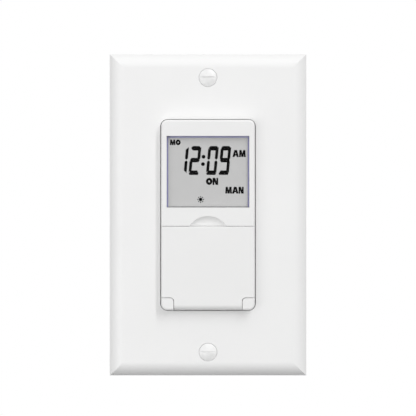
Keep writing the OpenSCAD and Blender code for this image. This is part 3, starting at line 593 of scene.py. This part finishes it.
def painted_window_edge_shade():
    """Painted light behind the window: a thin violet painted fringe of the lens's edge along its sides and
    top, and grey painted shade at its foot.
    """
    low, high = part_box("display_window")
    left, right = low.x + LENS_LIP, high.x - LENS_LIP
    bottom, top = low.z + LENS_LIP, high.z - LENS_LIP
    # Painted colours: violet stands for the lens edge's fringe, grey for the shade at the window's foot
    violet = printed_ink("painted_fringe_violet", (0.37, 0.37, 0.68))
    grey = printed_ink("painted_foot_shade_grey", (0.36, 0.36, 0.37))
    inner_left, inner_right = left + PAINTED_FRINGE_T, right - PAINTED_FRINGE_T
    arch = [
        (inner_left, bottom), (inner_left, top - PAINTED_FRINGE_T), (inner_right, top - PAINTED_FRINGE_T), (inner_right, bottom),
        (right, bottom), (right, top), (left, top), (left, bottom),
    ]
    foot = strip(inner_left, bottom, inner_right, bottom + PAINTED_FOOT_SHADE_T)
    flat_print("window_rim", [arch], film_front, "frame", violet)
    flat_print("painted_window_foot_shade", [foot], film_front, "frame", grey)


painted_window_edge_shade()


# Legends on the keys and the deck

legend_ink = printed_ink("legend_ink", (0.8, 0.8, 0.8))
dark_ink = printed_ink("dark_ink", (0.04, 0.04, 0.045))
LEGEND_H = 1.15 * MM
ARROW_W = 2.4 * MM
ARROW_H = 1.7 * MM
# How far the keys stand in front of the deck
KEY_PROUD = 2 * MM
RESET_WORD_DROP = 1.7 * MM
RESET_WORD_W = 3.1 * MM
RESET_WORD_H = 0.9 * MM
ON_OFF_WORD_W = 8.6 * MM
ON_OFF_WORD_H = 1.7 * MM
# Words on the small keys, and their widths
KEY_WORDS = {
    "program": ("PROG", 4.1 * MM),
    "clock": ("CLOCK", 4.6 * MM),
    "mode": ("MODE", 4.3 * MM),
    "enter": ("ENTER", 4.6 * MM),
}


def key_face(node):
    """Middle of a key on the front view and the depth of its front."""
    low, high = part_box(node)
    return (low.x + high.x) / 2, (low.z + high.z) / 2, low.y


def key_word(key, words, w, h, material):
    """Word in the middle of a key."""
    x, z, front = key_face(f"key_{key}")
    box = (x - w / 2, z - h / 2, x + w / 2, z + h / 2)
    lettering(f"legend_{key}", words, box, front, f"key_{key}", material)


def key_arrow(key, side):
    """Arrow head that points up or down: side is 1 or -1."""
    x, z, front = key_face(f"key_{key}")
    foot, tip = z - side * ARROW_H / 2, z + side * ARROW_H / 2
    outline = [(x - ARROW_W / 2, foot), (x + ARROW_W / 2, foot), (x, tip)]
    flat_print(f"legend_{key}", [outline], front, f"key_{key}", legend_ink)


def reset_word():
    """Word on the deck under the reset pin."""
    x, z, _ = key_face("reset_pin")
    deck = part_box("key_on_off")[0].y + KEY_PROUD
    top = z - RESET_WORD_DROP
    box = (x - RESET_WORD_W / 2, top - RESET_WORD_H, x + RESET_WORD_W / 2, top)
    lettering("legend_reset", "RESET", box, deck, "frame", dark_ink)


key_word("on_off", "ON / OFF", ON_OFF_WORD_W, ON_OFF_WORD_H, dark_ink)
for key_name, (key_legend, legend_w) in KEY_WORDS.items():
    key_word(key_name, key_legend, legend_w, LEGEND_H, legend_ink)
key_arrow("down", side=-1)
key_arrow("up", side=1)
reset_word()


# Screws with real threads

THREAD_CREST = 1.75 * MM
THREAD_ROOT = 1.32 * MM
THREAD_PITCH = 0.794 * MM
THREAD_STEPS = 28
# A shank starts this far inside its head, and its helix this far behind the shank's start
THREAD_SINK = 0.1 * MM
THREAD_LEAD = 0.05 * MM
# Radius of a shank's flat end, and the turns over which the thread runs out there
THREAD_TIP = 1.0 * MM
TIP_TURNS = 1.5
# Where the plain necks of the box screws end, and how far behind the plate's front its screws' heads end
BOX_NECK_END = 0.35 * MM
PLATE_HEAD_DEPTH = 1.6 * MM
# Shares of the pitch and the radii there, over one thread
THREAD_PROFILE = [(0.0, THREAD_ROOT), (0.38, THREAD_CREST), (0.5, THREAD_CREST), (0.88, THREAD_ROOT)]


def thread_rows(mesh, x, z, start, end):
    """Profiles of a thread, step by step along its helix; they sink to the root towards the tip."""
    steps = int(((end - start) / THREAD_PITCH - 1) * THREAD_STEPS)
    rows = []
    for step in range(steps + 1):
        angle = math.tau * step / THREAD_STEPS
        taper = min(1, (steps - step) / THREAD_STEPS / TIP_TURNS)
        row = []
        for offset, radius in THREAD_PROFILE:
            r = THREAD_ROOT + (radius - THREAD_ROOT) * taper
            y = start + THREAD_PITCH * (step / THREAD_STEPS + offset)
            row.append(mesh.verts.new((x + r * math.cos(angle), y, z + r * math.sin(angle))))
        rows.append(row)
    return rows


def thread_cap(mesh, x, z, y, radius, edge, seam):
    """Close one end of a thread: a disc, a wall from it to the helix's edge, and a face at the seam."""
    rim = [mesh.verts.new((px, y, pz)) for px, pz in disc(x, z, radius, corners=THREAD_STEPS)]
    mesh.faces.new(rim)
    loop = [*rim, rim[0]]
    for i in range(THREAD_STEPS):
        mesh.faces.new([loop[i], loop[i + 1], edge[i + 1], edge[i]])
    mesh.faces.new([rim[0], *seam])


def thread(mesh, x, z, start, end):
    """Add a closed threaded shank along the depth, with a chamfered tip."""
    rows = thread_rows(mesh, x, z, start + THREAD_LEAD, end)
    for here, after in zip(rows, rows[1:]):
        for j in range(len(here) - 1):
            mesh.faces.new([here[j], here[j + 1], after[j + 1], after[j]]).smooth = True
    for step in range(len(rows) - 1 - THREAD_STEPS):
        over, after = rows[step + THREAD_STEPS], rows[step + THREAD_STEPS + 1]
        mesh.faces.new([rows[step][-1], over[0], after[0], rows[step + 1][-1]]).smooth = True
    for here, after in zip(rows, rows[1:]):
        for a, b in zip(here, after):
            mesh.edges.get((a, b)).smooth = False
    first_turn = [row[0] for row in rows[:THREAD_STEPS + 1]]
    last_turn = [row[-1] for row in rows[-THREAD_STEPS - 1:]]
    thread_cap(mesh, x, z, start, THREAD_ROOT, first_turn, [*rows[0], first_turn[-1]])
    thread_cap(mesh, x, z, end, THREAD_TIP, last_turn, [last_turn[0], *rows[-1]])


def cut_behind(mesh, start):
    """Keep what lies in front of a depth, and close the cut."""
    whole = [*mesh.verts, *mesh.edges, *mesh.faces]
    cut = bmesh.ops.bisect_plane(
        mesh, geom=whole, plane_co=(0, start, 0), plane_no=(0, 1, 0), clear_outer=True
    )["geom_cut"]
    corners = [v for v in cut if isinstance(v, bmesh.types.BMVert)]
    bmesh.ops.remove_doubles(mesh, verts=corners, dist=WELD)
    rim = [e for e in mesh.edges if e.is_boundary and all(abs(v.co.y - start) < WELD for v in e.verts)]
    bmesh.ops.edgenet_fill(mesh, edges=rim)


def threaded_screws(name, node, start):
    """Stand-in for a pair of screws: the node's own heads and finish, and threads behind the given depth."""
    low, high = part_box(node)
    mesh = bmesh.new()
    mesh.from_mesh(nodes[node].data)
    cut_behind(mesh, start)
    x = (low.x + high.x) / 2
    head_r = (high.x - low.x) / 2
    for z in (low.z + head_r, high.z - head_r):
        thread(mesh, x, z, start - THREAD_SINK, high.y)
    piece = new_piece(name, mesh, "frame", nodes[node].data.materials[0])
    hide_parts(node)


plate_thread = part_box("wall_plate")[0].y + PLATE_HEAD_DEPTH
threaded_screws("threaded_box_screws", "box_screws", BOX_NECK_END)
threaded_screws("threaded_plate_screws", "plate_screws", plate_thread)


# Light, floor and camera

# Grey of the floor where it bounces light, and where it is seen
FLOOR_BOUNCE = 0.12
FLOOR_PALE = 0.88
FLOOR_CORNERS = 96
# Shares of the floor's radius between which it turns white
FADE_START = 0.35
FADE_END = 0.97
# Camera in front of the wall: sensor and lens in millimetres, place in metres
SENSOR_W = 36
LENS = 121.3
CAMERA_DISTANCE = 0.5
CAMERA_RISE = 2.45 * MM


def area_light(name, place, size, power):
    """Rectangular lamp that faces the object."""
    lamp = bpy.data.lights.new(name, "AREA")
    lamp.shape = "RECTANGLE"
    lamp.size, lamp.size_y = size
    lamp.energy = power
    light = bpy.data.objects.new(name, lamp)
    light.location = place
    light.rotation_euler = (-Vector(place)).to_track_quat("-Z", "Y").to_euler()
    bpy.context.scene.collection.objects.link(light)


def seen_directly(tree):
    """1 for camera, glossy and transmission rays, so that they meet a white background."""
    path = tree.nodes.new("ShaderNodeLightPath")
    total = path.outputs["Is Camera Ray"]
    for kind in ("Is Glossy Ray", "Is Transmission Ray"):
        largest = tree.nodes.new("ShaderNodeMath")
        largest.operation = "MAXIMUM"
        tree.links.new(total, largest.inputs[0])
        tree.links.new(path.outputs[kind], largest.inputs[1])
        total = largest.outputs[0]
    return total


def studio_world(level, lean):
    """Soft light from all round, stronger from above by the given lean; seen directly it is white."""
    world = bpy.data.worlds.new("studio")
    world.use_nodes = True
    bpy.context.scene.world = world
    tree = world.node_tree
    coords = tree.nodes.new("ShaderNodeTexCoord")
    split = tree.nodes.new("ShaderNodeSeparateXYZ")
    rise = tree.nodes.new("ShaderNodeMapRange")
    rise.inputs["From Min"].default_value = -1
    rise.inputs["From Max"].default_value = 1
    rise.inputs["To Min"].default_value = level * (1 - lean)
    rise.inputs["To Max"].default_value = level * (1 + lean)
    soft = tree.nodes["Background"]
    soft.inputs["Color"].default_value = (1, 1, 1, 1)
    white = tree.nodes.new("ShaderNodeBackground")
    white.inputs["Color"].default_value = (1, 1, 1, 1)
    white.inputs["Strength"].default_value = 1
    mix = tree.nodes.new("ShaderNodeMixShader")
    tree.links.new(coords.outputs["Generated"], split.inputs["Vector"])
    tree.links.new(split.outputs["Z"], rise.inputs["Value"])
    tree.links.new(rise.outputs["Result"], soft.inputs["Strength"])
    tree.links.new(seen_directly(tree), mix.inputs["Fac"])
    tree.links.new(soft.outputs[0], mix.inputs[1])
    tree.links.new(white.outputs[0], mix.inputs[2])
    tree.links.new(mix.outputs[0], tree.nodes["World Output"].inputs["Surface"])


def floor_finish(radius):
    """Floor that is pale where it is seen, mid grey where it bounces light, and white towards its rim."""
    material = bpy.data.materials.new("floor")
    material.use_nodes = True
    tree = material.node_tree
    seen = seen_directly(tree)
    shade = tree.nodes.new("ShaderNodeMapRange")
    shade.inputs["To Min"].default_value = FLOOR_BOUNCE
    shade.inputs["To Max"].default_value = FLOOR_PALE
    shader = tree.nodes["Principled BSDF"]
    shader.inputs["Roughness"].default_value = 0.9
    glow = tree.nodes.new("ShaderNodeEmission")
    coords = tree.nodes.new("ShaderNodeTexCoord")
    length = tree.nodes.new("ShaderNodeVectorMath")
    length.operation = "LENGTH"
    fade = tree.nodes.new("ShaderNodeMapRange")
    fade.interpolation_type = "SMOOTHSTEP"
    fade.inputs["From Min"].default_value = radius * FADE_START
    fade.inputs["From Max"].default_value = radius * FADE_END
    both = tree.nodes.new("ShaderNodeMath")
    both.operation = "MULTIPLY"
    mix = tree.nodes.new("ShaderNodeMixShader")
    tree.links.new(seen, shade.inputs["Value"])
    tree.links.new(shade.outputs["Result"], shader.inputs["Base Color"])
    tree.links.new(coords.outputs["Object"], length.inputs[0])
    tree.links.new(length.outputs["Value"], fade.inputs["Value"])
    tree.links.new(fade.outputs["Result"], both.inputs[0])
    tree.links.new(seen, both.inputs[1])
    tree.links.new(both.outputs[0], mix.inputs["Fac"])
    tree.links.new(shader.outputs[0], mix.inputs[1])
    tree.links.new(glow.outputs[0], mix.inputs[2])
    tree.links.new(mix.outputs[0], tree.nodes["Material Output"].inputs["Surface"])
    return material


def studio_floor(drop, radius):
    """Round floor, the given drop below the object."""
    data = bpy.data.meshes.new("floor")
    ring = [(*corner, 0) for corner in disc(0, 0, radius, corners=FLOOR_CORNERS)]
    data.from_pydata(ring, [], [list(range(FLOOR_CORNERS))])
    data.materials.append(floor_finish(radius))
    floor = bpy.data.objects.new("floor", data)
    floor.location.z = cad_box[0].z - drop
    bpy.context.scene.collection.objects.link(floor)


def photo_camera():
    """Straight-on view of the front."""
    data = bpy.data.cameras.new("camera")
    data.sensor_width = SENSOR_W
    data.lens = LENS
    camera = bpy.data.objects.new("camera", data)
    camera.location = (0, -CAMERA_DISTANCE, CAMERA_RISE)
    camera.rotation_euler = (math.pi / 2, 0, 0)
    bpy.context.scene.collection.objects.link(camera)
    bpy.context.scene.camera = camera


photo_camera()
studio_world(level=0.66, lean=0.08)
studio_floor(drop=0.4, radius=0.7)
area_light("left", place=(-0.95, -1.35, -0.35), size=(1.6, 1.2), power=7.8)
area_light("high_right", place=(1.66, -2.6, 2.66), size=(0.4, 3.0), power=60)
bpy.context.scene.view_settings.view_transform = "Standard"
